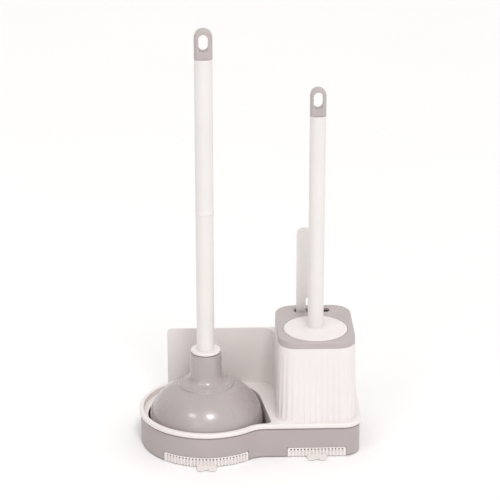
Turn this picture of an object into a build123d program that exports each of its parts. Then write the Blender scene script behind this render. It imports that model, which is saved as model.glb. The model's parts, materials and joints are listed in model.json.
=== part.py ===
from build123d import *
import os
from math import acos, asin, degrees, sqrt

# A plunger, a lidded brush and a flat crevice brush that stand together in one caddy.
# The caddy is a grey drip tray under a white moulded housing: rim, back panel and fluted brush cup.
# Millimetres. +X is to the right, +Y to the back, +Z up.
# The origin is on the floor, at the middle of the whole object's footprint.

# ---- tray outline, seen from above ----
LOBE_X = -52.8              # centre of the round left end of the tray
LOBE_Y = 13.7
LOBE_R = 85.0
RIM_RIGHT = 137.8
RIM_FRONT = -46.7           # the straight front, beside the lobe
BACK = 81.3
FRONT_BLEND_R = 30.0        # concave sweep between the lobe and the straight front
FRONT_CORNER_R = 24.0
BACK_CORNER_R = 20.0
LOBE_BACK_R = 10.0

# ---- heights of the caddy ----
TAB_UNDER = 1.0             # lowest edge of the tray wall, above the floor
FLOOR_UNDER = 4.0
FLOOR_TOP = 6.4
RIB_TOP = 8.0
RIB_COUNT = 12
RIB_MIDDLE = 50.0           # distance of a rib's middle from the plunger's axis
RIB_LENGTH = 40.0
RIB_WIDTH = 2.0
RIM_UNDER = 40.0
RIM_TOP = 44.8
LIP_UNDER = 32.0            # locating lip of the housing, inside the tray wall
PANEL_TOP = 121.4
CUP_TOP = 143.5
COLLAR_TOP = 152.0

# ---- walls and clearances ----
TRAY_INSET = 1.8            # the rim overhangs the tray wall by this much
TRAY_WALL = 1.8
TRAY_CHAMFER = 0.8
SHADOW_HEIGHT = 2.4         # groove round the top of the tray wall, below the rim
SHADOW_DEPTH = 0.8
LIP_GAP = 0.2
LIP_WALL = 1.4
PANEL_WALL = 2.5
CUP_WALL = 2.2
SLIP = 0.3                  # clearance between pieces that lift apart
FIT = 0.05                  # radial clearance of plugs inside tubes

# ---- axes of the two round tools ----
PLUNGER_X = -54.1
PLUNGER_Y = 5.9
BRUSH_X = 81.3
BRUSH_Y = 3.6

# ---- brush cup, outer shape ----
CUP_MIDDLE_X = 81.5
CUP_FOOT_WIDTH = 98.9
CUP_FOOT_FRONT = -43.4
CUP_HEAD_WIDTH = 95.1
CUP_HEAD_FRONT = -40.7
CUP_HEAD_BACK = 79.3
CUP_TOE = 4.5               # concave foot of the cup's left side, on the deck
TOE_STEPS = 6
CUP_CORNER_R = 22.0
FLUTE_PITCH = 7.3
FLUTE_DEPTH = 1.0
FLUTE_TOP_DEPTH = 0.12
FLUTE_R = 7.0
FLUTE_UNDER = 46.6
FLUTE_TOP = 137.0
PANEL_BLEND_R = 15.0
PANEL_LEFT = -102.2
PANEL_CORNER_R = 6.0
PANEL_FLUTE_LIMIT = 52.0    # no flutes further back than this
RIM_EDGE_R = 1.8
BAY_GAP = 1.6               # clearance between the rubber cup and the opening it stands in
BAY_CORNER_X = 21.5         # middle of the rounded front right corner of that opening
BAY_CORNER_Y = -36.0
BAY_CORNER_R = 4.0
BAY_BACK_X = -37.5          # middle of its wide back right corner
BAY_BACK_Y = 27.8
BAY_BACK_R = 53.0
BAY_BACK_DEPTH = 18.0
BAY_BACK_MARGIN = 90.0      # how much shorter than the lobe's width its straight back edge is
BAY_WALL = 1.9              # thickness of the white wall that hangs from its edge
BAY_WALL_UNDER = 14.5
SHELF_TOP = 38.0            # shelf in the opening's wide left end
SHELF_THICK = 1.8
SHELF_RIGHT = -76.0
SHELF_FRONT = -26.0

# ---- vent grilles ----
VENT_TOP = 12.7
VENT_GAP = 0.4
VENT_PITCH = 4.24
VENT_HOLE = 2.0
VENT_HOLE_Z = 10.3
VENT_GROOVE_TOP = 8.6
VENT_GROOVE_DEPTH = 1.3
VENT_GROOVE_WIDTH = 2.0
VENT_CORNER_R = 2.0
VENT_PROUD = 0.4
VENT_WALL = 1.9
LEFT_VENT_X = -55.0
LEFT_VENT_HALF = 51.8
LEFT_VENT_HOLES = 25
RIGHT_VENT_X = 81.6
RIGHT_VENT_HALF = 36.2
RIGHT_VENT_HOLES = 16
TAB_WIDTH = 24.0
TAB_REACH = 11.8            # how far a finger tab stands out from its grille
TAB_TOP = 2.8
TAB_CORNER_R = 4.0
TAB_NOTCH_R = 3.0

# ---- feet ----
FOOT_R = 6.0
FOOT_TOP = 1.5
FOOT_POST_RIM = 1.0         # how much wider than the pad its post is
FEET = ((-112, 12), (-54, -48), (-62, 68), (40, -26), (118, -26), (118, 62), (40, 64))

# ---- plunger ----
BELL_R = 71.0               # largest radius of the rubber cup
BELL_Z = 32.0               # height of that radius
BELL_RISE = 53.8            # upper half-axis of the bell's elliptical shoulder
BELL_WALL = 3.5
LIP_RIM_WIDTH = 4.5
STEP_R = 35.3               # where the bell's curve ends at the two shoulder steps
LIP_R = 68.4
NECK_R = 19.4               # at its top; the neck widens a little towards its foot
NECK_FOOT_R = 20.1
NECK_BORE_R = 13.0
NECK_FOOT = 95.0
NECK_TOP = 121.4
NECK_EDGE_R = 1.2
NECK_PLUG_FOOT = 93.0
SPACER_R = 15.6             # waist below the flange, which leaves a dark gap over the neck
SPACER_HEIGHT = 1.5
FLANGE_R = 18.3
FLANGE_EDGE_R = 1.2
FLANGE_TOP = 125.6
PLUNGER_TUBE_R = 11.0
PLUNGER_JOINT_Z = 304.0
PLUNGER_RING = 5.0
PLUNGER_RING_R = 11.5
PLUNGER_TUBE_TOP = 494.0
PLUNGER_CAP_Z = 496.0
PLUNGER_CAP_TOP = 531.6

# ---- brush ----
BRUSH_TUBE_R = 9.75
LID_R = 39.5
LID_EDGE_TOP = 153.0
LID_HUB_TOP = 155.3
RECESS_DEPTH = 1.2
RECESS_R = 40.2
HOLE_R = 37.2
BRUSH_JOINT_Z = 290.4
BRUSH_WASHER = 0.9
BRUSH_TUBE_TOP = 424.2
BRUSH_CAP_Z = 426.0
BRUSH_CAP_TOP = 459.8
LID_RING_R = 14.5           # low ring round the tube's foot
LID_RING_RISE = 0.35
LID_SKIRT = 4.0             # centring ring below the lid
LID_SKIRT_WALL = 2.0
BRISTLE_R = 33.5
BRISTLE_FOOT = 33.0
BRISTLE_TOP = 112.0
BRISTLE_ROUND = 8.0
BRISTLE_CROWN = 27.5        # height of the rounded lower end
CORE_R = 12.0
CORE_FOOT = 37.0
CORE_TOP = 118.0

# ---- shared by both handles ----
TUBE_WALL = 1.2
SCREW_R = 6.0
SCREW_LENGTH = 14.0
SCREW_GAP = 0.25
RING_EDGE_R = 0.5
THREAD_PITCH = 3.0
THREAD_DEPTH = 0.6
THREAD_WIDTH = 1.0
PLUG_DEPTH = 24.0
CAP_THICK_SHARE = 0.68      # the cap's front and back flats, as a share of the tube's radius
CAP_SLOT_WIDTH = 11.2
CAP_SLOT_SILL = 9.0         # solid stretch below the hanging slot
CAP_EDGE_R = 0.8
TONGUE_DEPTH = 12.0         # the cap's tongue, in the tube's end plug
TONGUE_MARGIN = 2.5
TONGUE_STEP = 4.0
END_PLUG_EDGE_R = 0.6

# ---- collar and crevice tool ----
COLLAR_WIDTH = 94.7
COLLAR_FRONT = -40.4
COLLAR_BACK = 79.5
COLLAR_EDGE_R = 1.6
COLLAR_CORNER_R = 24.0
COLLAR_PLATE = 3.2
COLLAR_PLUG = 5.0
SLOT_X = 80.1
SLOT_Y = 62.2
SLOT_WIDTH = 45.0
SLOT_DEPTH = 13.0
SLOT_CORNER_R = 5.0
BLADE_X = 77.2
BLADE_Y = 62.8
BLADE_WIDTH = 33.0
BLADE_THICK = 3.2
BLADE_TOP = 262.5
BLADE_FOOT = 92.0
BLADE_CORNER_R = 8.0
BLADE_EDGE_R = 0.6
BLADE_WINDOW_Z = 159.0
BLADE_WINDOW_HEIGHT = 22.0
BLADE_WINDOW_WIDTH = 8.8
HEAD_WIDTH = 30.0
HEAD_THICK = 8.0
HEAD_FOOT = 58.0
HEAD_CORNER_R = 2.5
BRISTLE_MARGIN = 2.0        # how far the flat head's bristles stand in from its sides
CREVICE_BRISTLE_FOOT = 10.0

os.makedirs("parts", exist_ok=True)
pieces = []


def keep(part, name):
    """Label a finished piece and write it as its own STEP file."""
    part.label = name
    export_step(part, f"parts/{name}.step")
    pieces.append(part)


# ======== outlines that several pieces share ========
with BuildSketch() as tray_outline:
    with Locations((LOBE_X, LOBE_Y)):
        Circle(LOBE_R)
    with Locations(((LOBE_X + RIM_RIGHT) / 2, (RIM_FRONT + BACK) / 2)):
        Rectangle(RIM_RIGHT - LOBE_X, BACK - RIM_FRONT)
    with Locations((0, BACK + LOBE_R / 2)):
        Rectangle(4 * LOBE_R, LOBE_R, mode=Mode.SUBTRACT)
    fillet(tray_outline.vertices().group_by(Axis.Y)[0].sort_by(Axis.X)[0], FRONT_BLEND_R)
    fillet(tray_outline.vertices().group_by(Axis.X)[-1].sort_by(Axis.Y)[0], FRONT_CORNER_R)
    fillet(tray_outline.vertices().group_by(Axis.Y)[-1].sort_by(Axis.X)[-1], BACK_CORNER_R)
    fillet(tray_outline.vertices().group_by(Axis.Y)[-1].sort_by(Axis.X)[0], LOBE_BACK_R)


def tray_inset(amount):
    """The tray's outline, moved inwards all round."""
    with BuildSketch() as inner:
        add(tray_outline.sketch)
        offset(amount=-amount, mode=Mode.REPLACE)
    return inner.sketch


def rounded_box(left, right, front, back, corner):
    """A flat rectangle with round corners, given by its four sides."""
    with BuildSketch() as flat:
        with Locations(((left + right) / 2, (front + back) / 2)):
            RectangleRounded(right - left, back - front, corner)
    return flat.sketch


def cup_foot(shrink):
    """The brush cup's outline at the rim."""
    half = CUP_FOOT_WIDTH / 2 - shrink
    return rounded_box(CUP_MIDDLE_X - half, CUP_MIDDLE_X + half, CUP_FOOT_FRONT + shrink, BACK - shrink,
                       CUP_CORNER_R - shrink)


def cup_head(shrink):
    """The brush cup's outline at its top."""
    half = CUP_HEAD_WIDTH / 2 - shrink
    return rounded_box(CUP_MIDDLE_X - half, CUP_MIDDLE_X + half, CUP_HEAD_FRONT + shrink,
                       CUP_HEAD_BACK - shrink, CUP_CORNER_R - shrink)


def collar_outline(shrink):
    """The collar's outline."""
    half = COLLAR_WIDTH / 2 - shrink
    return rounded_box(CUP_MIDDLE_X - half, CUP_MIDDLE_X + half, COLLAR_FRONT + shrink,
                       COLLAR_BACK - shrink, COLLAR_CORNER_R - shrink)


wall_outer = tray_inset(TRAY_INSET)
wall_inner = tray_inset(TRAY_INSET + TRAY_WALL)
lip_outer = tray_inset(TRAY_INSET + TRAY_WALL + LIP_GAP)
lip_inner = tray_inset(TRAY_INSET + TRAY_WALL + LIP_GAP + LIP_WALL)
panel_inner = tray_inset(PANEL_WALL)
WALL_R = LOBE_R - TRAY_INSET
WALL_FRONT = RIM_FRONT + TRAY_INSET

# ======== drip tray ========
with BuildPart() as base_tray:
    with BuildSketch(Plane.XY.offset(TAB_UNDER)):
        add(wall_outer)
    extrude(amount=RIM_UNDER - TAB_UNDER)
    chamfer(base_tray.edges().group_by(Axis.Z)[0], TRAY_CHAMFER)
    with BuildSketch(Plane.XY.offset(FLOOR_TOP)):
        add(wall_inner)
    extrude(amount=RIM_UNDER - FLOOR_TOP, mode=Mode.SUBTRACT)
    with BuildSketch(Plane.XY.offset(TAB_UNDER)):
        add(wall_inner)
    extrude(amount=FLOOR_UNDER - TAB_UNDER, mode=Mode.SUBTRACT)
    # shadow groove below the housing's rim
    with BuildSketch(Plane.XY.offset(RIM_UNDER - SHADOW_HEIGHT)):
        add(wall_outer)
        add(tray_inset(TRAY_INSET + SHADOW_DEPTH), mode=Mode.SUBTRACT)
    extrude(amount=SHADOW_HEIGHT, mode=Mode.SUBTRACT)
    # posts that the feet are glued to
    with BuildSketch(Plane.XY.offset(FOOT_TOP)):
        with Locations(*FEET):
            Circle(FOOT_R + FOOT_POST_RIM)
    extrude(amount=FLOOR_UNDER - FOOT_TOP)
    # ribs that hold the plunger's rubber lip off the wet floor
    with BuildSketch(Plane.XY.offset(FLOOR_TOP)):
        with Locations((PLUNGER_X, PLUNGER_Y)):
            with PolarLocations(RIB_MIDDLE, RIB_COUNT, start_angle=15):
                Rectangle(RIB_LENGTH, RIB_WIDTH)
    extrude(amount=RIB_TOP - FLOOR_TOP)
    # windows for the two grilles, open at the bottom
    with BuildSketch(Plane.XY.offset(TAB_UNDER)):
        with Locations((LOBE_X, LOBE_Y)):
            Circle(LOBE_R)
            Circle(WALL_R - VENT_WALL - SLIP, mode=Mode.SUBTRACT)
        with Locations((LEFT_VENT_X, LOBE_Y - WALL_R)):
            Rectangle(2 * (LEFT_VENT_HALF + VENT_GAP), WALL_R, mode=Mode.INTERSECT)
    extrude(amount=VENT_TOP + VENT_GAP - TAB_UNDER, mode=Mode.SUBTRACT)
    with BuildSketch(Plane.XY.offset(TAB_UNDER)):
        with Locations((RIGHT_VENT_X, WALL_FRONT)):
            Rectangle(2 * (RIGHT_VENT_HALF + VENT_GAP), 2 * (VENT_WALL + SLIP))
    extrude(amount=VENT_TOP + VENT_GAP - TAB_UNDER, mode=Mode.SUBTRACT)
keep(base_tray.part, "base_tray")

with BuildPart() as base_feet:
    with BuildSketch():
        with Locations(*FEET):
            Circle(FOOT_R)
    extrude(amount=FOOT_TOP)
keep(base_feet.part, "base_feet")


# ======== vent grilles ========
def tab_plan(middle_x, root_y):
    """Two-lobed finger tab, seen from above, with its root on the grille's face."""
    reach = TAB_REACH - VENT_PROUD
    with BuildSketch() as tab:
        with Locations((middle_x, root_y - reach / 2 + 1)):
            Rectangle(TAB_WIDTH, reach + 2)
        fillet(tab.vertices().group_by(Axis.Y)[0], TAB_CORNER_R)
        with Locations((middle_x, root_y - reach)):
            Circle(TAB_NOTCH_R, mode=Mode.SUBTRACT)
    return tab.sketch


groove_middle = (TAB_UNDER + VENT_GROOVE_TOP) / 2
groove_height = VENT_GROOVE_TOP - TAB_UNDER
through = 4 * VENT_WALL

with BuildPart() as vent_left:
    with BuildSketch(Plane.XY.offset(TAB_UNDER)):
        with Locations((LOBE_X, LOBE_Y)):
            Circle(WALL_R + VENT_PROUD)
            Circle(WALL_R - VENT_WALL, mode=Mode.SUBTRACT)
        with Locations((LEFT_VENT_X, LOBE_Y - WALL_R)):
            Rectangle(2 * LEFT_VENT_HALF, WALL_R, mode=Mode.INTERSECT)
    extrude(amount=VENT_TOP - TAB_UNDER)
    fillet(vent_left.edges().filter_by(Axis.Y).group_by(Axis.Z)[-1], VENT_CORNER_R)
    # a row of square holes, with grooves below them
    spread = degrees((LEFT_VENT_HOLES - 1) * VENT_PITCH / WALL_R)
    middle = -90 + degrees(asin((LEFT_VENT_X - LOBE_X) / WALL_R))
    with Locations((LOBE_X, LOBE_Y, 0)):
        with PolarLocations(WALL_R + VENT_PROUD, LEFT_VENT_HOLES, start_angle=middle - spread / 2,
                            angular_range=spread, endpoint=True):
            with Locations((0, 0, VENT_HOLE_Z)):
                Box(through, VENT_HOLE, VENT_HOLE, mode=Mode.SUBTRACT)
            with Locations((0, 0, groove_middle)):
                Box(2 * VENT_GROOVE_DEPTH, VENT_GROOVE_WIDTH, groove_height, mode=Mode.SUBTRACT)
    with BuildSketch(Plane.XY.offset(TAB_UNDER)):
        add(tab_plan(LEFT_VENT_X, LOBE_Y - WALL_R - VENT_PROUD))
    extrude(amount=TAB_TOP - TAB_UNDER)
keep(vent_left.part, "vent_left")

with BuildPart() as vent_right:
    with BuildSketch(Plane.XZ.offset(-WALL_FRONT + VENT_PROUD)):
        with Locations((RIGHT_VENT_X, (VENT_TOP + TAB_UNDER) / 2)):
            Rectangle(2 * RIGHT_VENT_HALF, VENT_TOP - TAB_UNDER)
        fillet(vertices().group_by(Axis.Z)[-1], VENT_CORNER_R)
    extrude(amount=-(VENT_WALL + VENT_PROUD))
    with Locations((RIGHT_VENT_X, WALL_FRONT - VENT_PROUD, 0)):
        with GridLocations(VENT_PITCH, 1, RIGHT_VENT_HOLES, 1):
            with Locations((0, 0, VENT_HOLE_Z)):
                Box(VENT_HOLE, through, VENT_HOLE, mode=Mode.SUBTRACT)
            with Locations((0, 0, groove_middle)):
                Box(VENT_GROOVE_WIDTH, 2 * VENT_GROOVE_DEPTH, groove_height, mode=Mode.SUBTRACT)
    with BuildSketch(Plane.XY.offset(TAB_UNDER)):
        add(tab_plan(RIGHT_VENT_X, WALL_FRONT - VENT_PROUD))
    extrude(amount=TAB_TOP - TAB_UNDER)
keep(vent_right.part, "vent_right")

# ======== housing: rim, deck, back panel and fluted brush cup in one moulding ========
foot_wire = cup_foot(0).face().outer_wire()
head_wire = cup_head(0).face().outer_wire()
flute_count = round(foot_wire.length / FLUTE_PITCH)


def on_cup(share, height):
    """Point of the cup's outer wall, at a share of the way round and a height above the floor."""
    rise = (height - RIM_UNDER) / (CUP_TOP - RIM_UNDER)
    low = foot_wire.position_at(share)
    high = head_wire.position_at(share)
    return low + (high - low) * rise + Vector(0, 0, height)


panel_face = BACK - PANEL_WALL
cup_left = CUP_MIDDLE_X - CUP_FOOT_WIDTH / 2
flute_places = []
for flute in range(flute_count):
    share = flute / flute_count
    along = foot_wire.tangent_at(share)
    outwards = Vector(along.Y, -along.X, 0)
    if outwards.dot(on_cup(share, 0) - Vector(CUP_MIDDLE_X, LOBE_Y, 0)) < 0:
        outwards = -outwards
    low_end = on_cup(share, FLUTE_UNDER) + outwards * (FLUTE_R - FLUTE_DEPTH)
    high_end = on_cup(share, FLUTE_TOP) + outwards * (FLUTE_R - FLUTE_TOP_DEPTH)
    if low_end.Y < PANEL_FLUTE_LIMIT:
        flute_places.append(Plane(origin=(low_end + high_end) / 2, z_dir=high_end - low_end))

# the panel turns the corner a little at its left end
with BuildPart() as back_panel:
    with BuildSketch(Plane.XY.offset(RIM_UNDER)):
        add(tray_outline.sketch)
        add(panel_inner, mode=Mode.SUBTRACT)
        with Locations(((PANEL_LEFT + CUP_MIDDLE_X) / 2, BACK)):
            Rectangle(CUP_MIDDLE_X - PANEL_LEFT, LOBE_BACK_R * 2, mode=Mode.INTERSECT)
    extrude(amount=PANEL_TOP - RIM_UNDER)
    fillet(back_panel.edges().filter_by(Axis.Y).group_by(Axis.Z)[-1].sort_by(Axis.X)[0], PANEL_CORNER_R)



def bay_outline(grow, limit):
    """Where the plunger stands: close round the cup on its right, squarer behind it, with a corner in front."""
    with BuildSketch() as outline:
        with Locations((PLUNGER_X, PLUNGER_Y)):
            Circle(BELL_R + BAY_GAP + grow)
        with Locations((BAY_BACK_X, BAY_BACK_Y)):
            Circle(BAY_BACK_R + grow)
        with Locations((BAY_CORNER_X, BAY_CORNER_Y), (PLUNGER_X, PLUNGER_Y - LOBE_R)):
            Circle(BAY_CORNER_R + grow)
        make_hull()
        with Locations((PLUNGER_X - LOBE_R, LOBE_Y)):
            Rectangle(2 * LOBE_R, 4 * LOBE_R)
        add(limit, mode=Mode.INTERSECT)
    return outline.sketch


# the opening in the deck goes as far as the panel's face at the back
bay_limit = Rectangle(2 * LOBE_R - BAY_BACK_MARGIN, BAY_BACK_DEPTH, mode=Mode.PRIVATE)
bay_limit = Pos(LOBE_X, panel_face - BAY_BACK_DEPTH / 2) * bay_limit
with BuildSketch() as bay:
    add(bay_outline(0, lip_inner))
    add(bay_outline(0, bay_limit))
with BuildSketch() as bay_wall:
    add(bay_outline(BAY_WALL, lip_outer))
    add(bay.sketch, mode=Mode.SUBTRACT)

with BuildPart() as caddy_housing:
    with BuildSketch(Plane.XY.offset(RIM_UNDER)):
        add(tray_outline.sketch)
    extrude(amount=RIM_TOP - RIM_UNDER)
    fillet(caddy_housing.edges().group_by(Axis.Z)[-1], RIM_EDGE_R)
    # brush cup, leaning in a little towards its top
    with BuildSketch(Plane.XY.offset(RIM_UNDER)):
        add(cup_foot(0))
    with BuildSketch(Plane.XY.offset(CUP_TOP)):
        add(cup_head(0))
    loft()
    # shallow flutes that fade towards the top of the cup
    with Locations(*flute_places):
        Cylinder(FLUTE_R, FLUTE_TOP - FLUTE_UNDER, mode=Mode.SUBTRACT)
    # concave foot on the cup's left side
    for step in range(TOE_STEPS):
        rise = CUP_TOE * step / (TOE_STEPS - 1)
        reach = CUP_TOE - sqrt(CUP_TOE ** 2 - (CUP_TOE - rise) ** 2)
        with BuildSketch(Plane.XY.offset(RIM_TOP + rise)):
            add(rounded_box(cup_left - reach, CUP_MIDDLE_X, CUP_FOOT_FRONT, BACK - PANEL_WALL, CUP_CORNER_R))
    loft(ruled=True)
    add(back_panel.part)
    # soft corner between the panel and the side of the cup
    with BuildSketch(Plane.XY.offset(RIM_TOP - 1)):
        with Locations((cup_left - PANEL_BLEND_R / 2 + 2, panel_face - PANEL_BLEND_R / 2 + 1)):
            Rectangle(PANEL_BLEND_R + 4, PANEL_BLEND_R + 2)
        with Locations((cup_left - PANEL_BLEND_R, panel_face - PANEL_BLEND_R)):
            Circle(PANEL_BLEND_R, mode=Mode.SUBTRACT)
    extrude(amount=PANEL_TOP - RIM_TOP + 1)
    # locating lip inside the tray wall, and the bay's own wall
    with BuildSketch(Plane.XY.offset(LIP_UNDER)):
        add(lip_outer)
        add(lip_inner, mode=Mode.SUBTRACT)
    extrude(amount=RIM_UNDER - LIP_UNDER)
    with BuildSketch(Plane.XY.offset(BAY_WALL_UNDER)):
        add(bay_wall.sketch)
    extrude(amount=RIM_UNDER - BAY_WALL_UNDER)
    with BuildSketch(Plane.XY.offset(LIP_UNDER)):
        add(bay.sketch)
    extrude(amount=RIM_TOP - LIP_UNDER, mode=Mode.SUBTRACT)
    # shelf in the wide gap on the rubber cup's left
    with BuildSketch(Plane.XY.offset(SHELF_TOP - SHELF_THICK)):
        add(lip_outer)
        with Locations((SHELF_RIGHT - LOBE_R, SHELF_FRONT + LOBE_R)):
            Rectangle(2 * LOBE_R, 2 * LOBE_R, mode=Mode.INTERSECT)
        with Locations((PLUNGER_X, PLUNGER_Y)):
            Circle(BELL_R + BAY_GAP, mode=Mode.SUBTRACT)
    extrude(amount=SHELF_THICK)
    # inside of the brush cup, open at both ends
    with BuildSketch(Plane.XY.offset(RIM_UNDER)):
        add(cup_foot(CUP_WALL))
    with BuildSketch(Plane.XY.offset(CUP_TOP)):
        add(cup_head(CUP_WALL))
    loft(mode=Mode.SUBTRACT)
keep(caddy_housing.part, "caddy_housing")

# ======== collar that closes the brush cup ========
with BuildPart() as brush_collar:
    with BuildSketch(Plane.XY.offset(CUP_TOP)):
        add(collar_outline(0))
    extrude(amount=COLLAR_TOP - CUP_TOP)
    fillet(brush_collar.edges().group_by(Axis.Z)[-1], COLLAR_EDGE_R)
    with BuildSketch(Plane.XY.offset(CUP_TOP - COLLAR_PLUG)):
        add(cup_head(CUP_WALL + SLIP))
    extrude(amount=COLLAR_PLUG)
    with BuildSketch(Plane.XY.offset(CUP_TOP - COLLAR_PLUG)):
        add(cup_head(CUP_WALL + SLIP + LIP_WALL))
    extrude(amount=COLLAR_TOP - COLLAR_PLATE - CUP_TOP + COLLAR_PLUG, mode=Mode.SUBTRACT)
    # recess for the lid, round hole for the brush head, slot for the crevice brush
    with BuildSketch(Plane.XY.offset(COLLAR_TOP)):
        with Locations((BRUSH_X, BRUSH_Y)):
            Circle(RECESS_R)
    extrude(amount=-RECESS_DEPTH, mode=Mode.SUBTRACT)
    with BuildSketch(Plane.XY.offset(COLLAR_TOP)):
        with Locations((BRUSH_X, BRUSH_Y)):
            Circle(HOLE_R)
        with Locations((SLOT_X, SLOT_Y)):
            RectangleRounded(SLOT_WIDTH, SLOT_DEPTH, SLOT_CORNER_R)
    extrude(amount=-COLLAR_TOP + CUP_TOP, mode=Mode.SUBTRACT)
keep(brush_collar.part, "brush_collar")


# ======== handle pieces, used by both round tools ========
def plane_on(axis_x, axis_y, height):
    """Level plane whose middle is on a tool's axis."""
    return Plane(origin=(axis_x, axis_y, height))


def make_tube(name, x, y, radius, foot, top):
    """Plain handle tube."""
    with BuildPart() as tube:
        with BuildSketch(plane_on(x, y, foot)):
            Circle(radius)
            Circle(radius - TUBE_WALL, mode=Mode.SUBTRACT)
        extrude(amount=top - foot)
    keep(tube.part, name)


def make_joint(tool, x, y, radius, ring_radius, foot, ring):
    """Screw joint in a handle: male plug below, a loose ring, and a threaded bush above."""
    plug_radius = radius - TUBE_WALL - FIT
    with BuildPart() as male:
        with BuildSketch(plane_on(x, y, foot - PLUG_DEPTH)):
            Circle(plug_radius)
        extrude(amount=PLUG_DEPTH)
        with BuildSketch(plane_on(x, y, foot)):
            Circle(SCREW_R)
        extrude(amount=ring + SCREW_LENGTH)
        chamfer(male.edges().group_by(Axis.Z)[-1], 1)
        # thread, drawn as rings
        with BuildSketch(Plane.XZ.offset(-y)):
            turns = int(SCREW_LENGTH / THREAD_PITCH)
            with Locations(*[(x + SCREW_R, foot + ring + THREAD_PITCH * (n + 0.5)) for n in range(turns)]):
                Rectangle(2 * THREAD_DEPTH, THREAD_WIDTH)
        revolve(axis=Axis((x, y, 0), (0, 0, 1)), mode=Mode.SUBTRACT)
    keep(male.part, f"{tool}_joint_screw")
    with BuildPart() as washer:
        with BuildSketch(plane_on(x, y, foot)):
            Circle(ring_radius)
            Circle(SCREW_R + SCREW_GAP, mode=Mode.SUBTRACT)
        extrude(amount=ring)
        if ring > 4 * RING_EDGE_R:
            fillet(washer.edges().filter_by(GeomType.CIRCLE).sort_by(SortBy.RADIUS)[-2:], RING_EDGE_R)
    keep(washer.part, f"{tool}_joint_ring")
    with BuildPart() as bush:
        with BuildSketch(plane_on(x, y, foot + ring)):
            Circle(plug_radius)
            Circle(SCREW_R + SCREW_GAP, mode=Mode.SUBTRACT)
        extrude(amount=PLUG_DEPTH)
    keep(bush.part, f"{tool}_joint_bush")


def make_top(tool, x, y, radius, tube_top, cap_foot, cap_top):
    """White end plug in the tube's mouth, and the grey hanging cap whose tongue sits in it."""
    tongue_half = radius - TUBE_WALL - TONGUE_MARGIN
    cap_half = CAP_THICK_SHARE * radius
    tongue_thick_half = cap_half - TONGUE_STEP
    with BuildPart() as plug:
        with BuildSketch(plane_on(x, y, tube_top)):
            Circle(radius)
        extrude(amount=cap_foot - tube_top)
        fillet(plug.edges().group_by(Axis.Z)[-1], END_PLUG_EDGE_R)
        with BuildSketch(plane_on(x, y, tube_top - TONGUE_DEPTH)):
            Circle(radius - TUBE_WALL - FIT)
        extrude(amount=TONGUE_DEPTH)
        with BuildSketch(plane_on(x, y, tube_top - TONGUE_DEPTH)):
            Rectangle(2 * tongue_half, 2 * tongue_thick_half)
        extrude(amount=cap_foot - tube_top + TONGUE_DEPTH, mode=Mode.SUBTRACT)
    keep(plug.part, f"{tool}_end_plug")
    with BuildPart() as cap:
        with BuildSketch(plane_on(x, y, cap_foot)):
            Circle(radius)
            Rectangle(4 * radius, 2 * cap_half, mode=Mode.INTERSECT)
        extrude(amount=cap_top - cap_foot)
        # round top, seen from the front
        with BuildSketch(Plane.XZ.offset(-y)):
            with Locations((x, cap_top - radius)):
                Circle(radius)
            with Locations((x, (cap_foot + cap_top - radius) / 2)):
                Rectangle(2 * radius, cap_top - radius - cap_foot)
        extrude(amount=2 * radius, both=True, mode=Mode.INTERSECT)
        # hanging slot
        slot_top = cap_top - radius + CAP_SLOT_WIDTH / 2
        slot_foot = cap_foot + CAP_SLOT_SILL
        with BuildSketch(Plane.XZ.offset(-y)):
            with Locations((x, (slot_top + slot_foot) / 2)):
                SlotOverall(slot_top - slot_foot, CAP_SLOT_WIDTH, rotation=90)
        extrude(amount=2 * radius, both=True, mode=Mode.SUBTRACT)
        fillet(cap.faces().filter_by(Axis.Y).edges(), CAP_EDGE_R)
        with BuildSketch(plane_on(x, y, cap_foot - TONGUE_DEPTH)):
            Rectangle(2 * tongue_half - 2 * FIT, 2 * tongue_thick_half - 2 * FIT)
        extrude(amount=TONGUE_DEPTH)
    keep(cap.part, f"{tool}_hang_cap")


# ======== plunger ========
plunger_axis = Axis((PLUNGER_X, PLUNGER_Y, 0), (0, 0, 1))
plunger_side = Plane(origin=(PLUNGER_X, PLUNGER_Y, 0), x_dir=(1, 0, 0), z_dir=(0, -1, 0))
inner_r = BELL_R - BELL_WALL
inner_rise = BELL_RISE - BELL_WALL

with BuildPart() as plunger_cup:
    with BuildSketch(plunger_side):
        with BuildLine():
            # outside, from the lip up the bell
            lip = Line((LIP_R - LIP_RIM_WIDTH, RIB_TOP), (LIP_R, RIB_TOP))
            side = TangentArc((BELL_R, BELL_Z), lip @ 1, tangent=(0, -1))
            bell = EllipticalCenterArc((0, BELL_Z), BELL_R, BELL_RISE, arc_size=degrees(acos(STEP_R / BELL_R)))
            # two low steps on the shoulder, then a sweep up into the neck
            steps = Polyline(bell @ 1, bell @ 1 + (-1.3, 2.6), bell @ 1 + (-3.1, 2.8), bell @ 1 + (-4.5, 4.2))
            flare = TangentArc(steps @ 1, (NECK_FOOT_R, NECK_FOOT), tangent=(-1, 0.25))
            neck = Line(flare @ 1, (NECK_R, NECK_TOP - NECK_EDGE_R))
            edge = TangentArc(neck @ 1, (NECK_R - NECK_EDGE_R, NECK_TOP), tangent=(0, 1))
            mouth = Line(edge @ 1, (NECK_BORE_R, NECK_TOP))
            # inside of the bell, back down to the lip
            inside = EllipticalCenterArc((0, BELL_Z), inner_r, inner_rise,
                                         arc_size=degrees(acos(NECK_BORE_R / inner_r)))
            Line(mouth @ 1, inside @ 1)
            Line(inside @ 0, lip @ 0)
        make_face()
    revolve(axis=plunger_axis)
keep(plunger_cup.part, "plunger_cup")

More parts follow.
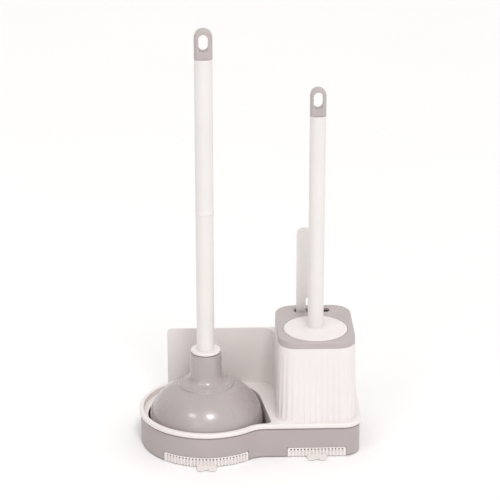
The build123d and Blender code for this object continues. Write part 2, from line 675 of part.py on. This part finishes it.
with BuildPart() as plunger_neck_plug:
    with BuildSketch(plane_on(PLUNGER_X, PLUNGER_Y, NECK_PLUG_FOOT)):
        Circle(NECK_BORE_R - FIT)
    extrude(amount=NECK_TOP - NECK_PLUG_FOOT)
    with BuildSketch(plane_on(PLUNGER_X, PLUNGER_Y, NECK_TOP)):
        Circle(SPACER_R)
    extrude(amount=SPACER_HEIGHT)
    with BuildSketch(plane_on(PLUNGER_X, PLUNGER_Y, NECK_TOP + SPACER_HEIGHT)):
        Circle(FLANGE_R)
    extrude(amount=FLANGE_TOP - NECK_TOP - SPACER_HEIGHT)
    fillet(plunger_neck_plug.edges().group_by(Axis.Z)[-1], FLANGE_EDGE_R)
    with BuildSketch(plane_on(PLUNGER_X, PLUNGER_Y, FLANGE_TOP)):
        Circle(PLUNGER_TUBE_R - TUBE_WALL - FIT)
    extrude(amount=PLUG_DEPTH)
keep(plunger_neck_plug.part, "plunger_neck_plug")

make_tube("plunger_lower_tube", PLUNGER_X, PLUNGER_Y, PLUNGER_TUBE_R, FLANGE_TOP, PLUNGER_JOINT_Z)
make_joint("plunger", PLUNGER_X, PLUNGER_Y, PLUNGER_TUBE_R, PLUNGER_RING_R, PLUNGER_JOINT_Z, PLUNGER_RING)
make_tube("plunger_upper_tube", PLUNGER_X, PLUNGER_Y, PLUNGER_TUBE_R, PLUNGER_JOINT_Z + PLUNGER_RING,
          PLUNGER_TUBE_TOP)
make_top("plunger", PLUNGER_X, PLUNGER_Y, PLUNGER_TUBE_R, PLUNGER_TUBE_TOP, PLUNGER_CAP_Z, PLUNGER_CAP_TOP)

# ======== brush ========
brush_axis = Axis((BRUSH_X, BRUSH_Y, 0), (0, 0, 1))
brush_side = Plane(origin=(BRUSH_X, BRUSH_Y, 0), x_dir=(1, 0, 0), z_dir=(0, -1, 0))
lid_under = COLLAR_TOP - RECESS_DEPTH
skirt_inner = HOLE_R - SLIP - LID_SKIRT_WALL

with BuildPart() as brush_lid:
    with BuildSketch(brush_side):
        with BuildLine():
            # dished top with a low ring round the tube, and a centring ring below
            Polyline((0, LID_HUB_TOP), (LID_RING_R - 2, LID_HUB_TOP), (LID_RING_R - 1, LID_HUB_TOP + LID_RING_RISE),
                     (LID_RING_R, LID_HUB_TOP + LID_RING_RISE), (LID_RING_R + 1, LID_HUB_TOP - 0.1),
                     (LID_R - 1.5, LID_EDGE_TOP), (LID_R, LID_EDGE_TOP - 0.9), (LID_R, lid_under),
                     (HOLE_R - SLIP, lid_under), (HOLE_R - SLIP, lid_under - LID_SKIRT),
                     (skirt_inner, lid_under - LID_SKIRT), (skirt_inner, lid_under),
                     (CORE_R, lid_under), (CORE_R, CORE_TOP), (0, CORE_TOP), close=True)
        make_face()
    revolve(axis=brush_axis)
    # stub that the handle tube is pushed over
    with BuildSketch(plane_on(BRUSH_X, BRUSH_Y, LID_HUB_TOP)):
        Circle(BRUSH_TUBE_R - TUBE_WALL - FIT)
    extrude(amount=PLUG_DEPTH)
keep(brush_lid.part, "brush_lid")

make_tube("brush_lower_tube", BRUSH_X, BRUSH_Y, BRUSH_TUBE_R, LID_HUB_TOP, BRUSH_JOINT_Z)
make_joint("brush", BRUSH_X, BRUSH_Y, BRUSH_TUBE_R, BRUSH_TUBE_R, BRUSH_JOINT_Z, BRUSH_WASHER)
make_tube("brush_upper_tube", BRUSH_X, BRUSH_Y, BRUSH_TUBE_R, BRUSH_JOINT_Z + BRUSH_WASHER, BRUSH_TUBE_TOP)
make_top("brush", BRUSH_X, BRUSH_Y, BRUSH_TUBE_R, BRUSH_TUBE_TOP, BRUSH_CAP_Z, BRUSH_CAP_TOP)

# round head: a core that the bristles are set in
with BuildPart() as brush_head_core:
    with BuildSketch(brush_side):
        with BuildLine():
            wall = Polyline((0, CORE_TOP), (CORE_R, CORE_TOP), (CORE_R, CORE_FOOT + CORE_R))
            nose = TangentArc(wall @ 1, (0, CORE_FOOT), tangent=(0, -1))
            Line(nose @ 1, wall @ 0)
        make_face()
    revolve(axis=brush_axis)
keep(brush_head_core.part, "brush_head_core")

with BuildPart() as brush_bristles:
    with BuildSketch(brush_side):
        with BuildLine():
            top = Line((CORE_R, BRISTLE_TOP), (BRISTLE_R - BRISTLE_ROUND, BRISTLE_TOP))
            shoulder = TangentArc(top @ 1, (BRISTLE_R, BRISTLE_TOP - BRISTLE_ROUND), tangent=(1, 0))
            crown_z = BRISTLE_FOOT + BRISTLE_CROWN
            flank = Line(shoulder @ 1, (BRISTLE_R, crown_z))
            crown = EllipticalCenterArc((0, crown_z), BRISTLE_R, BRISTLE_CROWN, start_angle=0,
                                        arc_size=-degrees(acos(CORE_R / BRISTLE_R)))
            Line(crown @ 1, top @ 0)
        make_face()
    revolve(axis=brush_axis)
keep(brush_bristles.part, "brush_bristles")

# ======== flat brush for crevices ========
with BuildPart() as crevice_blade:
    with BuildSketch(Plane.XZ.offset(-BLADE_Y + BLADE_THICK / 2)):
        with Locations((BLADE_X, (BLADE_TOP + BLADE_FOOT) / 2)):
            Rectangle(BLADE_WIDTH, BLADE_TOP - BLADE_FOOT)
        fillet(vertices().group_by(Axis.Z)[-1], BLADE_CORNER_R)
        # window just above the collar
        with Locations((BLADE_X, BLADE_WINDOW_Z)):
            SlotOverall(BLADE_WINDOW_HEIGHT, BLADE_WINDOW_WIDTH, rotation=90, mode=Mode.SUBTRACT)
    extrude(amount=-BLADE_THICK)
    fillet(crevice_blade.faces().filter_by(Axis.Y).edges(), BLADE_EDGE_R)
keep(crevice_blade.part, "crevice_blade")

with BuildPart() as crevice_head:
    with BuildSketch(plane_on(BLADE_X, BLADE_Y, HEAD_FOOT)):
        RectangleRounded(HEAD_WIDTH, HEAD_THICK, HEAD_CORNER_R)
    extrude(amount=BLADE_FOOT - HEAD_FOOT)
keep(crevice_head.part, "crevice_head")

with BuildPart() as crevice_bristles:
    with BuildSketch(plane_on(BLADE_X, BLADE_Y, CREVICE_BRISTLE_FOOT)):
        Rectangle(HEAD_WIDTH - 2 * BRISTLE_MARGIN, HEAD_THICK - BRISTLE_MARGIN)
    extrude(amount=HEAD_FOOT - CREVICE_BRISTLE_FOOT)
keep(crevice_bristles.part, "crevice_bristles")

box = Compound(children=pieces).bounding_box()
print("pieces", len(pieces), "low", box.min, "high", box.max)
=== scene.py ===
import json
import math
import random

import bmesh
import bpy
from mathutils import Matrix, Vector


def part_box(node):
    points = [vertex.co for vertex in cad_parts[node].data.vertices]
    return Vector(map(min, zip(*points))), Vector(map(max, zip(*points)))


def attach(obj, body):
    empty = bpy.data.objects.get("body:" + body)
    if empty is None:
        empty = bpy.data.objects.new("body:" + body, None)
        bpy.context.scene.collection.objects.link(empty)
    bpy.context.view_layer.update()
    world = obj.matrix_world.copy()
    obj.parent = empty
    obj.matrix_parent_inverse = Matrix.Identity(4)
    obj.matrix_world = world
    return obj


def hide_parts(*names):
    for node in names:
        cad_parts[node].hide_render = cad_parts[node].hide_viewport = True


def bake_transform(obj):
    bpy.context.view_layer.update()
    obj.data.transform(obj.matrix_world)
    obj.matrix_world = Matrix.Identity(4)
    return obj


# Looks for a plunger, a lidded brush and a crevice brush in one caddy.
# The CAD nodes keep their shapes and get finishes. The rubber cup, the bristles and the two screw spigots
# are built here as detailed meshes, in the space that their CAD solids hold.

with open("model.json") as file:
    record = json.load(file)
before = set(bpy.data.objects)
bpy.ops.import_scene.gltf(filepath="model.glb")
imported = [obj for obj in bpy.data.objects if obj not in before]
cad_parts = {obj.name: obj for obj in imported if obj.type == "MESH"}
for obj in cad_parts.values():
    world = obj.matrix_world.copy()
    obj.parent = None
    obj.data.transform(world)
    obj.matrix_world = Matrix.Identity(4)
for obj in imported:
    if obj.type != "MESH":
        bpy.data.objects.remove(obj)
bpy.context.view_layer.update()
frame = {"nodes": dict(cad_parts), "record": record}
MM = 0.001
BEND_SHARE = 0.49           # how much of an edge a rounded corner may use
SHARP_ANGLE = 40            # degrees between faces, past which an edge looks sharp
STRAND_TAPER = 0.35         # how much thinner a bristle is at its tip
NOISE_LOW = 0.3             # range that the noise nodes mostly stay in
NOISE_HIGH = 0.7


# ======== mesh helpers ========
def new_piece(name, mesh, finish, slot, *replaced):
    """Puts a finished mesh in the scene as a piece that stands for CAD nodes."""
    piece = bpy.data.objects.new(name, mesh)
    bpy.context.scene.collection.objects.link(piece)
    mesh.materials.append(finish)
    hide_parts(*replaced)
    return piece


def rounded(corners):
    """Turns (radius, height, corner radius) points, in mm, into a profile with its corners rounded."""
    steps = 6
    profile = []
    for place, (x, z, bend) in enumerate(corners):
        here = Vector((x, z))
        if bend == 0 or place in (0, len(corners) - 1):
            profile.append(here)
            continue
        before = Vector(corners[place - 1][:2]) - here
        after = Vector(corners[place + 1][:2]) - here
        half = before.angle(after) / 2
        reach = min(bend / math.tan(half), before.length * BEND_SHARE, after.length * BEND_SHARE)
        start = here + before.normalized() * reach
        end = here + after.normalized() * reach
        for step in range(steps + 1):
            t = step / steps
            profile.append(start * (1 - t) ** 2 + here * 2 * t * (1 - t) + end * t ** 2)
    return profile


def lathe(name, profile, axis_x, axis_y, segments, ripple=None):
    """Revolves a closed profile, in mm, about an upright axis.

    ripple(angle, radius, height) returns the radius to use in place of the profile's.
    """
    form = bmesh.new()
    rings = []
    for turn in range(segments):
        angle = 2 * math.pi * turn / segments
        ring = []
        for radius, height in profile:
            if ripple is not None:
                radius = ripple(angle, radius, height)
            ring.append(form.verts.new((axis_x + radius * MM * math.cos(angle),
                                        axis_y + radius * MM * math.sin(angle), height * MM)))
        rings.append(ring)
    count = len(profile)
    for turn in range(segments):
        one, two = rings[turn], rings[(turn + 1) % segments]
        for k in range(count):
            after = (k + 1) % count
            form.faces.new((one[k], two[k], two[after], one[after]))
    bmesh.ops.recalc_face_normals(form, faces=form.faces)
    mesh = bpy.data.meshes.new(name)
    form.to_mesh(mesh)
    form.free()
    mesh.shade_smooth()
    mesh.set_sharp_from_angle(angle=math.radians(SHARP_ANGLE))
    return mesh


def add_strand(form, root, tip, bow, thickness):
    """One bristle: a tapered three-sided strand from root to tip that bows sideways."""
    stations = 4
    along = (tip - root).normalized()
    side = along.orthogonal().normalized()
    other = along.cross(side)
    loops = []
    for station in range(stations + 1):
        t = station / stations
        middle = root.lerp(tip, t) + bow * t ** 2
        radius = thickness / 2 * (1 - STRAND_TAPER * t)
        loops.append([form.verts.new(middle + radius * (math.cos(a) * side + math.sin(a) * other))
                      for a in (0, 2 * math.pi / 3, 4 * math.pi / 3)])
    for low, high in zip(loops, loops[1:]):
        for k in range(3):
            form.faces.new((low[k], low[(k + 1) % 3], high[(k + 1) % 3], high[k]))
    form.faces.new(reversed(loops[0]))
    form.faces.new(loops[-1])


def strand_mesh(name, form):
    """Closes off a bristle mesh."""
    mesh = bpy.data.meshes.new(name)
    form.to_mesh(mesh)
    form.free()
    mesh.shade_smooth()
    return mesh


# ======== materials ========
def start_material(name, roughness):
    """New material with object coordinates ready for its textures."""
    finish = bpy.data.materials.new(name)
    finish.use_nodes = True
    tree = finish.node_tree
    shader = tree.nodes["Principled BSDF"]
    shader.inputs["Roughness"].default_value = roughness
    coords = tree.nodes.new("ShaderNodeTexCoord")
    return finish, tree, shader, coords.outputs["Object"]


def add_noise(tree, place, grain, detail=2.0, stretch=(1, 1, 1)):
    """Noise whose features are grain mm across; stretch makes them longer along an axis."""
    mapping = tree.nodes.new("ShaderNodeMapping")
    mapping.inputs["Scale"].default_value = [1 / s for s in stretch]
    noise = tree.nodes.new("ShaderNodeTexNoise")
    noise.inputs["Scale"].default_value = 1 / (grain * MM)
    noise.inputs["Detail"].default_value = detail
    tree.links.new(place, mapping.inputs["Vector"])
    tree.links.new(mapping.outputs["Vector"], noise.inputs["Vector"])
    return noise.outputs["Fac"]


def spread(tree, value, low, high):
    """Maps a noise value to a range, and holds it there."""
    ramp = tree.nodes.new("ShaderNodeMapRange")
    ramp.inputs["From Min"].default_value = NOISE_LOW
    ramp.inputs["From Max"].default_value = NOISE_HIGH
    ramp.inputs["To Min"].default_value = low
    ramp.inputs["To Max"].default_value = high
    tree.links.new(value, ramp.inputs["Value"])
    return ramp.outputs["Result"]


def colour_between(tree, value, dark, light):
    """A colour between two, by a value."""
    mix = tree.nodes.new("ShaderNodeMix")
    mix.data_type = "RGBA"
    mix.inputs["A"].default_value = (*dark, 1)
    mix.inputs["B"].default_value = (*light, 1)
    tree.links.new(value, mix.inputs["Factor"])
    return mix.outputs["Result"]


def bumped(tree, value, height, edge=0.0):
    """Surface relief of a height in mm, over edges softened by a radius in mm."""
    bump = tree.nodes.new("ShaderNodeBump")
    bump.inputs["Strength"].default_value = 1.0
    bump.inputs["Distance"].default_value = height * MM
    tree.links.new(value, bump.inputs["Height"])
    if edge:
        bevel = tree.nodes.new("ShaderNodeBevel")
        bevel.samples = 6
        bevel.inputs["Radius"].default_value = edge * MM
        tree.links.new(bevel.outputs["Normal"], bump.inputs["Normal"])
    return bump.outputs["Normal"]


def shade(tone, amount):
    """A colour made darker or lighter by a factor."""
    return tuple(c * amount for c in tone)


def moulded(name, tone, roughness, grain, relief, variation=0.03, edge=0.0, coat=0.0):
    """Injection-moulded plastic: slow clouds in the colour, fine grain in the gloss and the surface."""
    finish, tree, shader, place = start_material(name, roughness)
    clouds = add_noise(tree, place, 45, detail=3)
    colour = colour_between(tree, spread(tree, clouds, 0, 1), shade(tone, 1 - variation),
                            shade(tone, 1 + variation))
    tree.links.new(colour, shader.inputs["Base Color"])
    fine = add_noise(tree, place, grain, detail=3)
    tree.links.new(spread(tree, fine, roughness - 0.05, roughness + 0.05), shader.inputs["Roughness"])
    tree.links.new(bumped(tree, fine, relief, edge), shader.inputs["Normal"])
    shader.inputs["Coat Weight"].default_value = coat
    shader.inputs["Coat Roughness"].default_value = 0.25
    return finish


def drawn_tube(name, tone):
    """Drawn tube: faint lines along its length under an even gloss."""
    roughness = 0.34
    finish, tree, shader, place = start_material(name, roughness)
    lines = add_noise(tree, place, 1.2, detail=4, stretch=(1, 1, 80))
    clouds = add_noise(tree, place, 60, detail=2)
    colour = colour_between(tree, spread(tree, clouds, 0, 1), shade(tone, 0.975), shade(tone, 1.01))
    tree.links.new(colour, shader.inputs["Base Color"])
    tree.links.new(spread(tree, lines, roughness - 0.06, roughness + 0.06), shader.inputs["Roughness"])
    tree.links.new(bumped(tree, lines, 0.012), shader.inputs["Normal"])
    shader.inputs["Coat Weight"].default_value = 0.15
    shader.inputs["Coat Roughness"].default_value = 0.2
    return finish


def rubber(name, tone, roughness):
    """Smooth moulded rubber: soft clouds in the colour, a little bloom in the gloss, and a clear skin."""
    finish, tree, shader, place = start_material(name, roughness)
    clouds = add_noise(tree, place, 40, detail=2)
    colour = colour_between(tree, spread(tree, clouds, 0, 1), shade(tone, 0.965), shade(tone, 1.03))
    tree.links.new(colour, shader.inputs["Base Color"])
    bloom = add_noise(tree, place, 30, detail=2)
    tree.links.new(spread(tree, bloom, roughness - 0.02, roughness + 0.03), shader.inputs["Roughness"])
    shader.inputs["Specular IOR Level"].default_value = 0.6
    shader.inputs["Coat Weight"].default_value = 0.35
    shader.inputs["Coat Roughness"].default_value = 0.12
    return finish


def nylon(name, tone):
    """Bristle nylon: slightly clear, with streaks in the colour and the gloss."""
    finish, tree, shader, place = start_material(name, 0.4)
    streaks = add_noise(tree, place, 1.5, detail=3)
    colour = colour_between(tree, spread(tree, streaks, 0, 1), shade(tone, 0.86), shade(tone, 1.04))
    tree.links.new(colour, shader.inputs["Base Color"])
    tree.links.new(spread(tree, streaks, 0.32, 0.5), shader.inputs["Roughness"])
    tree.links.new(bumped(tree, streaks, 0.02), shader.inputs["Normal"])
    shader.inputs["Subsurface Weight"].default_value = 0.15
    shader.inputs["Subsurface Scale"].default_value = 0.5 * MM
    return finish


WHITE = (0.82, 0.77, 0.75)
TUBE_WHITE = (0.80, 0.765, 0.745)
GREY = (0.43, 0.378, 0.373)
COLLAR_GREY = (0.475, 0.42, 0.412)
CUP_GREY = (0.42, 0.37, 0.363)
FOOT_GREY = (0.16, 0.15, 0.15)
BRISTLE_WHITE = (0.78, 0.77, 0.75)

finishes = {
    "white_plastic": moulded("white_plastic", WHITE, 0.38, 0.9, 0.010, variation=0.015, edge=0.35, coat=0.1),
    "tube_white": drawn_tube("tube_white", TUBE_WHITE),
    "grey_plastic": moulded("grey_plastic", GREY, 0.46, 0.7, 0.016, edge=0.35),
    "collar_plastic": moulded("collar_plastic", COLLAR_GREY, 0.4, 0.7, 0.012, edge=0.3, coat=0.1),
    "cup_rubber": rubber("cup_rubber", CUP_GREY, 0.27),
    "foot_rubber": rubber("foot_rubber", FOOT_GREY, 0.7),
    "bristle": nylon("bristle", BRISTLE_WHITE),
}

for subpart in frame["record"]["subparts"]:
    node = frame["nodes"][subpart["node"]]
    node.data.materials.clear()
    node.data.materials.append(finishes[subpart["material_slot"]])

# ======== rubber cup ========
cup_low, cup_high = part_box("plunger_cup")
plunger_x = (cup_low.x + cup_high.x) / 2
plunger_y = (cup_low.y + cup_high.y) / 2
bell_radius = (cup_high.x - cup_low.x) / 2 / MM
cup_foot = cup_low.z / MM
cup_top = cup_high.z / MM
plug_low, plug_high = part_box("plunger_neck_plug")
bore = bell_radius * 13 / 71    # hole in the neck that the plug fills


def arc(centre, radius, start, end, steps):
    """Points on an arc of the profile, without its first one; angles in degrees."""
    points = []
    for step in range(1, steps + 1):
        angle = math.radians(start + (end - start) * step / steps)
        points.append((centre[0] + radius[0] * math.cos(angle), centre[1] + radius[1] * math.sin(angle), 0))
    return points


def cup_profile():
    """Closed section of the rubber cup, from the lip up the outside, over the neck and down the inside."""
    widest = 32.0               # height of the largest radius
    rise = 53.8                 # upper half-axis of the bell
    wall = 3.5
    lip = bell_radius - 2.6
    lip_width = 4.5
    seam = 0.2                  # mould parting line round the widest part
    bell_end_r = 35.3           # where the bell meets the step on the shoulder
    sweep_r = 14.27             # hollow sweep from the shoulder up into the neck
    sweep_centre = (34.26, 96.74)
    neck_r = 19.4
    outside = [(lip - lip_width, cup_foot, 0), (lip - 0.5 * lip_width, cup_foot, 0), (lip, cup_foot, 1.6)]
    side_steps = 12
    for step in range(1, side_steps):
        t = step / side_steps
        outside.append((lip + (bell_radius - lip) * math.sin(t * math.pi / 2),
                        cup_foot + (widest - 0.6 - cup_foot) * t, 0))
    outside += [(bell_radius - seam, widest - 0.5, 0), (bell_radius, widest - 0.2, 0),
                (bell_radius, widest + 0.2, 0), (bell_radius - seam, widest + 0.5, 0)]
    bell_end = math.degrees(math.acos(bell_end_r / bell_radius))
    outside += arc((0, widest), (bell_radius - seam, rise), 1, bell_end, 34)
    shoulder = outside[-1][1]
    # a low step on the shoulder, the sweep, and the neck's rounded edge
    outside += [(34.0, shoulder + 2.6, 1.2), (32.2, shoulder + 2.8, 1.2), (30.8, shoulder + 4.2, 0.9)]
    outside += arc(sweep_centre, (sweep_r, sweep_r), -106, -173, 12)
    outside += [(neck_r, cup_top - 1.2, 0.6), (19.1, cup_top - 0.35, 0.4), (18.3, cup_top, 0.4),
                (bore, cup_top, 0.3)]
    inner_end = math.degrees(math.acos(bore / (bell_radius - wall)))
    inside = [(bore, cup_top - 12, 0)]
    inside += arc((0, widest), (bell_radius - wall, rise - wall), inner_end, 0, 30)
    inside[-1] = (*inside[-1][:2], 1.5)
    inside.append((lip - lip_width, cup_foot + 3, 2.0))
    return rounded(outside + inside)


cup = new_piece("plunger_rubber_cup", lathe("plunger_rubber_cup", cup_profile(), plunger_x, plunger_y, 160),
                finishes["cup_rubber"], "cup_rubber", "plunger_cup")
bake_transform(cup)


# ======== brush head bristles ========
def brush_bristles():
    """Tufts set round the core, trimmed to the head's round shape."""
    low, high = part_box("brush_bristles")
    core_low, core_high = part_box("brush_head_core")
    axis = Vector(((low.x + high.x) / 2, (low.y + high.y) / 2, 0))
    head_r = (high.x - low.x) / 2
    core_r = (core_high.x - core_low.x) / 2
    crown_z = low.z + 27.5 * MM         # the head narrows below this height
    first_row = 8 * MM                  # lowest ring of tufts, below the crown's height
    top_gap = 3 * MM
    top_bevel = 4 * MM                  # the tips are cut back this near the top
    stray = 0.13                        # how far strands spread within a tuft
    scatter = 0.9                       # mm between the roots in a tuft
    trim = (0.965, 0.995)               # how far out the tips are cut, as a share of the head's radius
    thickness = 0.5 * MM
    draw = random.Random(11)
    form = bmesh.new()
    rings, around, strands = 12, 15, 12
    for ring in range(rings):
        root_z = crown_z - first_row + (high.z - top_gap - crown_z + first_row) * ring / (rings - 1)
        for tuft in range(around):
            bearing = 2 * math.pi * (tuft + 0.5 * (ring % 2)) / around
            lean = -0.5 if ring == 0 else (-0.2 if ring == 1 else 0.0)
            for strand in range(strands):
                turn = bearing + draw.uniform(-stray, stray)
                slope = lean + draw.uniform(-stray, stray)
                out = Vector((math.cos(turn), math.sin(turn), 0))
                reach = head_r * draw.uniform(*trim)
                tip_z = root_z + (reach - core_r) * slope
                if tip_z > high.z - top_bevel:
                    reach -= (tip_z - high.z + top_bevel) * 0.6
                if tip_z < crown_z:
                    drop = min(1.0, (crown_z - tip_z) / (crown_z - low.z))
                    reach *= math.sqrt(max(0.1, 1 - drop ** 2))
                tip_z = min(tip_z, high.z - 1 * MM)
                spot = axis + Vector((math.cos(bearing), math.sin(bearing), 0)) * (core_r - 0.4 * MM)
                spot += Vector((-out.y, out.x, 0)) * draw.uniform(-scatter, scatter) * MM
                root = spot + Vector((0, 0, root_z + draw.uniform(-scatter, scatter) * MM))
                tip = axis + out * reach + Vector((0, 0, tip_z))
                bow = Vector((0, 0, draw.uniform(-0.6, 0.6) * MM))
                add_strand(form, root, tip, bow, thickness)
    # tufts under the rounded end
    nose_stray = 0.12
    for count, tilt in ((4, 0.35), (8, 0.8)):
        for tuft in range(count):
            bearing = 2 * math.pi * tuft / count
            for strand in range(strands):
                fan = tilt + draw.uniform(-nose_stray, nose_stray)
                turn = bearing + draw.uniform(-nose_stray, nose_stray)
                out = Vector((math.sin(fan) * math.cos(turn), math.sin(fan) * math.sin(turn), -math.cos(fan)))
                nose = axis + Vector((0, 0, core_low.z + core_r))
                root = nose + out * (core_r - 0.6 * MM)
                reach = 1 / math.sqrt((math.sin(fan) / head_r) ** 2
                                      + (math.cos(fan) / (crown_z - low.z)) ** 2)
                tip = axis + Vector((0, 0, crown_z)) + out * reach * draw.uniform(*trim)
                add_strand(form, root, tip, Vector((0, 0, 0)), thickness)
    return strand_mesh("brush_head_bristles", form)


head_bristles = new_piece("brush_head_bristles", brush_bristles(), finishes["bristle"], "bristle",
                          "brush_bristles")
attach(head_bristles, "brush")


# ======== crevice brush bristles ========
def crevice_bristles():
    """Two rows of long tufts below the flat head."""
    low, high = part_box("crevice_bristles")
    edge = 0.3 * MM                     # tips stay this far inside the head's outline
    thickness = 0.4 * MM
    draw = random.Random(5)
    form = bmesh.new()
    columns, rows, strands = 9, 2, 16
    for column in range(columns):
        for row in range(rows):
            x = low.x + (high.x - low.x) * (column + 0.5) / columns
            y = low.y + (high.y - low.y) * (row + 0.5) / rows
            for strand in range(strands):
                root = Vector((x + draw.uniform(-0.9, 0.9) * MM, y + draw.uniform(-0.8, 0.8) * MM,
                               high.z - 0.05 * MM))
                tip = Vector((min(max(x + draw.uniform(-1.8, 1.8) * MM, low.x + edge), high.x - edge),
                              min(max(y + draw.uniform(-1.2, 1.2) * MM, low.y + edge), high.y - edge),
                              low.z + draw.uniform(0.2, 2.0) * MM))
                add_strand(form, root, tip, Vector((0, 0, 0)), thickness)
    return strand_mesh("crevice_brush_bristles", form)


thin_bristles = new_piece("crevice_brush_bristles", crevice_bristles(), finishes["bristle"], "bristle",
                          "crevice_bristles")
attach(thin_bristles, "crevice_brush")


# ======== screw spigots with real threads ========
def threaded_spigot(tool):
    """The joint's lower half: a plug in the lower tube, then a spigot with a helical thread."""
    low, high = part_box(f"{tool}_joint_screw")
    ring_low, ring_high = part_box(f"{tool}_joint_ring")
    axis_x, axis_y = (low.x + high.x) / 2, (low.y + high.y) / 2
    plug_r = (high.x - low.x) / 2 / MM
    screw_r = 6.0
    pitch = 3.0
    depth = 0.6
    chamfer = 0.8
    centre_r = 0.01                     # the ends close on a pinhole, so that every face has four corners
    foot = low.z / MM
    shoulder = ring_low.z / MM
    thread_foot = ring_high.z / MM + 0.5
    top = high.z / MM
    thread_top = top - 1
    profile = [(centre_r, foot), (plug_r - chamfer, foot), (plug_r, foot + chamfer), (plug_r, shoulder),
               (screw_r, shoulder)]
    rows = 60
    profile += [(screw_r, thread_foot + (thread_top - thread_foot) * row / rows) for row in range(rows + 1)]
    profile += [(screw_r - 1, top), (centre_r, top)]

    def thread(angle, radius, height):
        """Cuts the groove between turns, fading in and out at the thread's ends."""
        if radius < screw_r - 0.01 or not thread_foot <= height <= thread_top:
            return radius
        phase = (height / pitch - angle / (2 * math.pi)) % 1
        flank = abs(phase - 0.5) * 2
        fade = min(1, height - thread_foot, thread_top - height + 0.3)
        return radius - depth * fade * min(1, max(0, 1.4 - 2.0 * flank))

    return lathe(f"{tool}_screw_spigot", profile, axis_x, axis_y, 72, ripple=thread)


for tool in ("plunger", "brush"):
    spigot = new_piece(f"{tool}_screw_spigot", threaded_spigot(tool), finishes["white_plastic"],
                       "white_plastic", f"{tool}_joint_screw")
    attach(spigot, tool)

# ======== camera, light and floor ========
CAMERA_AZIMUTH = -1.9           # a little to the left of straight in front
CAMERA_ELEVATION = 21.0
CAMERA_DISTANCE = 2.4222
CAMERA_AIM = Vector((0.0011, -0.0007, 0.2574))
LENS = 144
SENSOR_WIDTH = 36
LAMP_AIM = Vector((0, 0, 0.15))
DARK_PATCH = (-80, 4)           # azimuth and elevation of the middle of the darker surroundings


def heading(azimuth, elevation):
    """Direction from the object; azimuth 0 is in front and 90 is to the right."""
    turn, lift = math.radians(azimuth), math.radians(elevation)
    return Vector((math.sin(turn) * math.cos(lift), -math.cos(turn) * math.cos(lift), math.sin(lift)))


def add_camera():
    """Long lens, a little above the object and nearly square to its front."""
    data = bpy.data.cameras.new("camera")
    data.lens = LENS
    data.sensor_width = SENSOR_WIDTH
    data.shift_x = -0.001
    data.shift_y = 0.001
    camera = bpy.data.objects.new("camera", data)
    camera.location = CAMERA_AIM + CAMERA_DISTANCE * heading(CAMERA_AZIMUTH, CAMERA_ELEVATION)
    camera.rotation_euler = (math.radians(90 - CAMERA_ELEVATION), 0, math.radians(CAMERA_AZIMUTH))
    bpy.context.scene.collection.objects.link(camera)
    bpy.context.scene.camera = camera


def add_lamp(name, data, azimuth, elevation, distance):
    """Puts a lamp on its heading, facing the object."""
    lamp = bpy.data.objects.new(name, data)
    towards = heading(azimuth, elevation)
    lamp.location = LAMP_AIM + towards * distance
    lamp.rotation_euler = towards.to_track_quat("Z", "Y").to_euler()
    bpy.context.scene.collection.objects.link(lamp)


def add_key(azimuth, elevation, strength, spread_angle):
    """Main light from high in front, wide enough for soft shadows."""
    data = bpy.data.lights.new("key", "SUN")
    data.energy = strength
    data.angle = math.radians(spread_angle)
    add_lamp("key", data, azimuth, elevation, 2.0)


def add_softbox(name, azimuth, elevation, distance, width, height, power):
    """Rectangular area lamp."""
    data = bpy.data.lights.new(name, "AREA")
    data.shape = "RECTANGLE"
    data.size = width
    data.size_y = height
    data.energy = power
    add_lamp(name, data, azimuth, elevation, distance)


def add_surroundings(bright, dark):
    """Even pale surroundings, with a darker patch low down on the left."""
    world = bpy.data.worlds.new("surroundings")
    world.use_nodes = True
    bpy.context.scene.world = world
    tree = world.node_tree
    background = tree.nodes["Background"]
    coords = tree.nodes.new("ShaderNodeTexCoord")
    toward_patch = tree.nodes.new("ShaderNodeVectorMath")
    toward_patch.operation = "DOT_PRODUCT"
    toward_patch.inputs[1].default_value = heading(*DARK_PATCH)
    tree.links.new(coords.outputs["Generated"], toward_patch.inputs[0])
    falloff = tree.nodes.new("ShaderNodeMapRange")
    falloff.interpolation_type = "SMOOTHSTEP"
    falloff.inputs["From Min"].default_value = 0.55
    falloff.inputs["From Max"].default_value = 0.95
    falloff.inputs["To Min"].default_value = bright
    falloff.inputs["To Max"].default_value = dark
    tree.links.new(toward_patch.outputs["Value"], falloff.inputs["Value"])
    background.inputs["Color"].default_value = (1.0, 0.99, 0.985, 1)
    tree.links.new(falloff.outputs["Result"], background.inputs["Strength"])


def add_floor():
    """Large plain floor."""
    half = 14.0
    mesh = bpy.data.meshes.new("floor")
    mesh.from_pydata([(-half, -half, 0), (half, -half, 0), (half, half, 0), (-half, half, 0)], [],
                     [(0, 1, 2, 3)])
    floor = bpy.data.objects.new("floor", mesh)
    bpy.context.scene.collection.objects.link(floor)
    finish, tree, shader, place = start_material("floor", 0.85)
    paper = add_noise(tree, place, 300, detail=2)
    tree.links.new(colour_between(tree, paper, (0.93, 0.925, 0.92), (0.95, 0.945, 0.94)),
                   shader.inputs["Base Color"])
    shader.inputs["Specular IOR Level"].default_value = 0.1
    mesh.materials.append(finish)


add_camera()
add_floor()
add_surroundings(0.88, 0.15)
add_key(12, 54, 0.9, 12)
add_softbox("side", -43, 49, 2.4, 0.5, 0.3, 5)
add_softbox("front", -22, 30, 2.6, 0.9, 0.5, 2)
bpy.context.scene.view_settings.view_transform = "Standard"
